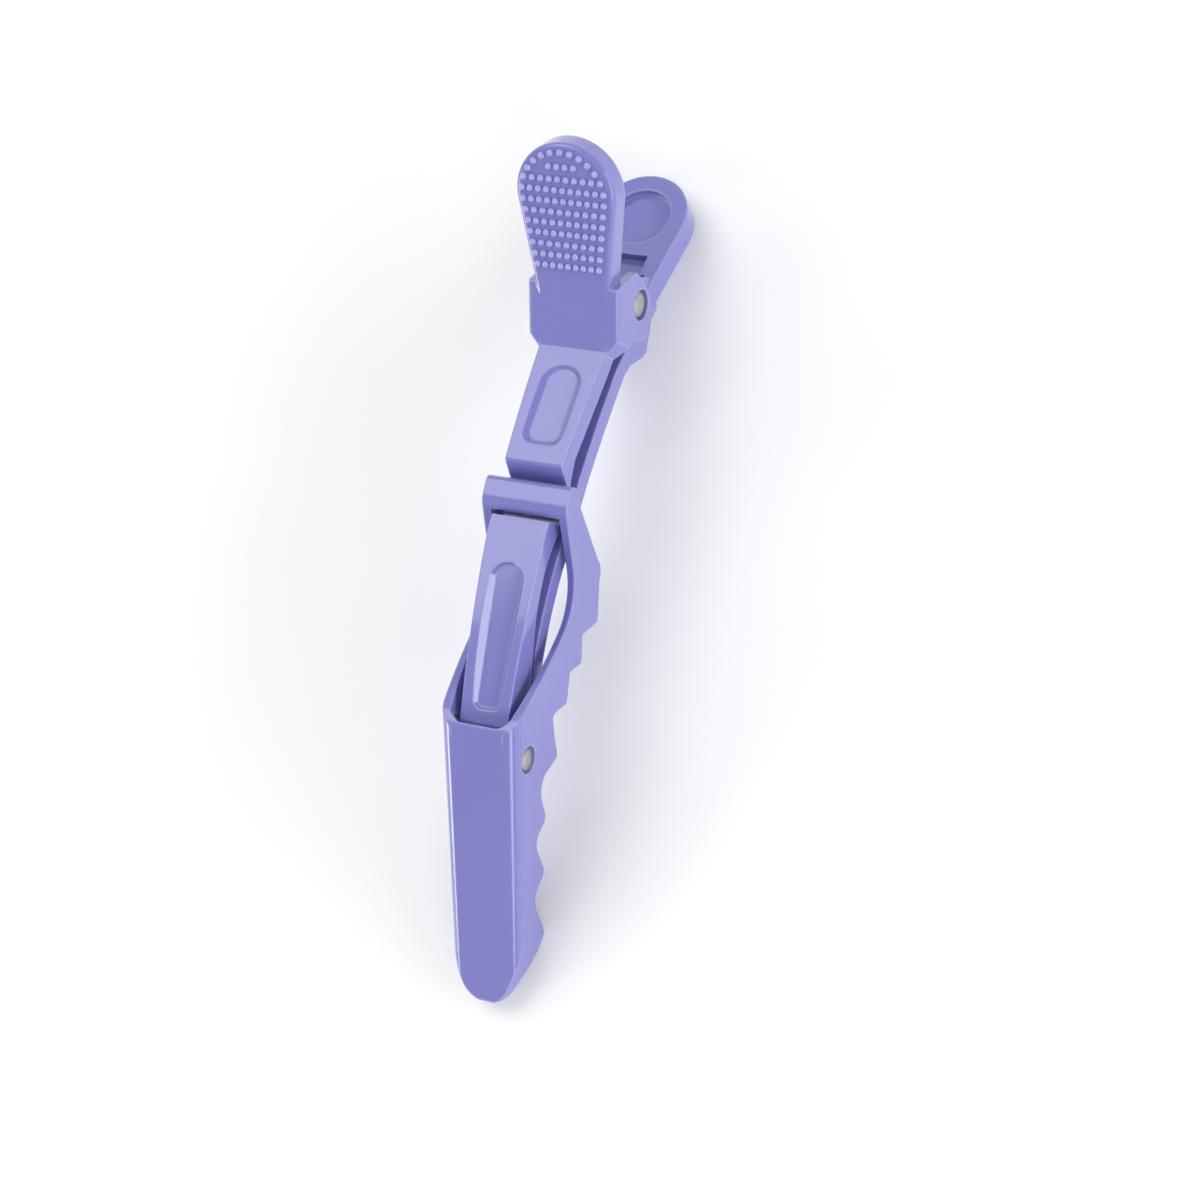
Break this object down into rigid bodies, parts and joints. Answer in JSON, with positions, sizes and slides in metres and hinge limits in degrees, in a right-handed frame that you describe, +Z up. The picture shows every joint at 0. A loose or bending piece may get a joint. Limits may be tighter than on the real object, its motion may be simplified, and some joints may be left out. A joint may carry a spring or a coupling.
{
  "type": "sectioning clip",
  "caption": "Double-hinged sectioning clip for hair: two sprung levers, a pivoting scalloped jaw with a see-through window, riveted pins and a dotted thumb pad.",
  "frame": {"origin": "middle of the underside of the clip as it lies on its back, on the handle's end and the jaw's tip", "axes": "+X along the clip from the handle end to the jaw's tip, +Z up out of the front faces, +Y across, along both pins"},
  "size_m": [0.1122, 0.014, 0.0325],
  "materials": {
    "plastic": "moulded, glossy",
    "pin_steel": "riveted",
    "spring_steel": "drawn wire"
  },
  "bodies": {
    "back_half": {"back_lever": "plastic"},
    "front_half": {"front_lever": "plastic", "main_pin": "pin_steel", "torsion_spring": "spring_steel"},
    "jaw": {"hinged_jaw": "plastic", "jaw_pin": "pin_steel"}
  },
  "joints": [
    {"name": "squeeze_hinge", "type": "hinge", "parent": "back_half", "child": "front_half", "pos_m": [-0.03635, 0, 0.0134], "axis": [0, -1, 0], "range_deg": [0, 34], "stiffness_Nm_per_rad": 0.06, "springref_deg": -28.65, "deforming": ["torsion_spring"]},
    {"name": "jaw_rock", "type": "hinge", "parent": "front_half", "child": "jaw", "pos_m": [0.02455, 0, 0.0164], "axis": [0, 1, 0], "range_deg": [-1, 3]}
  ]
}
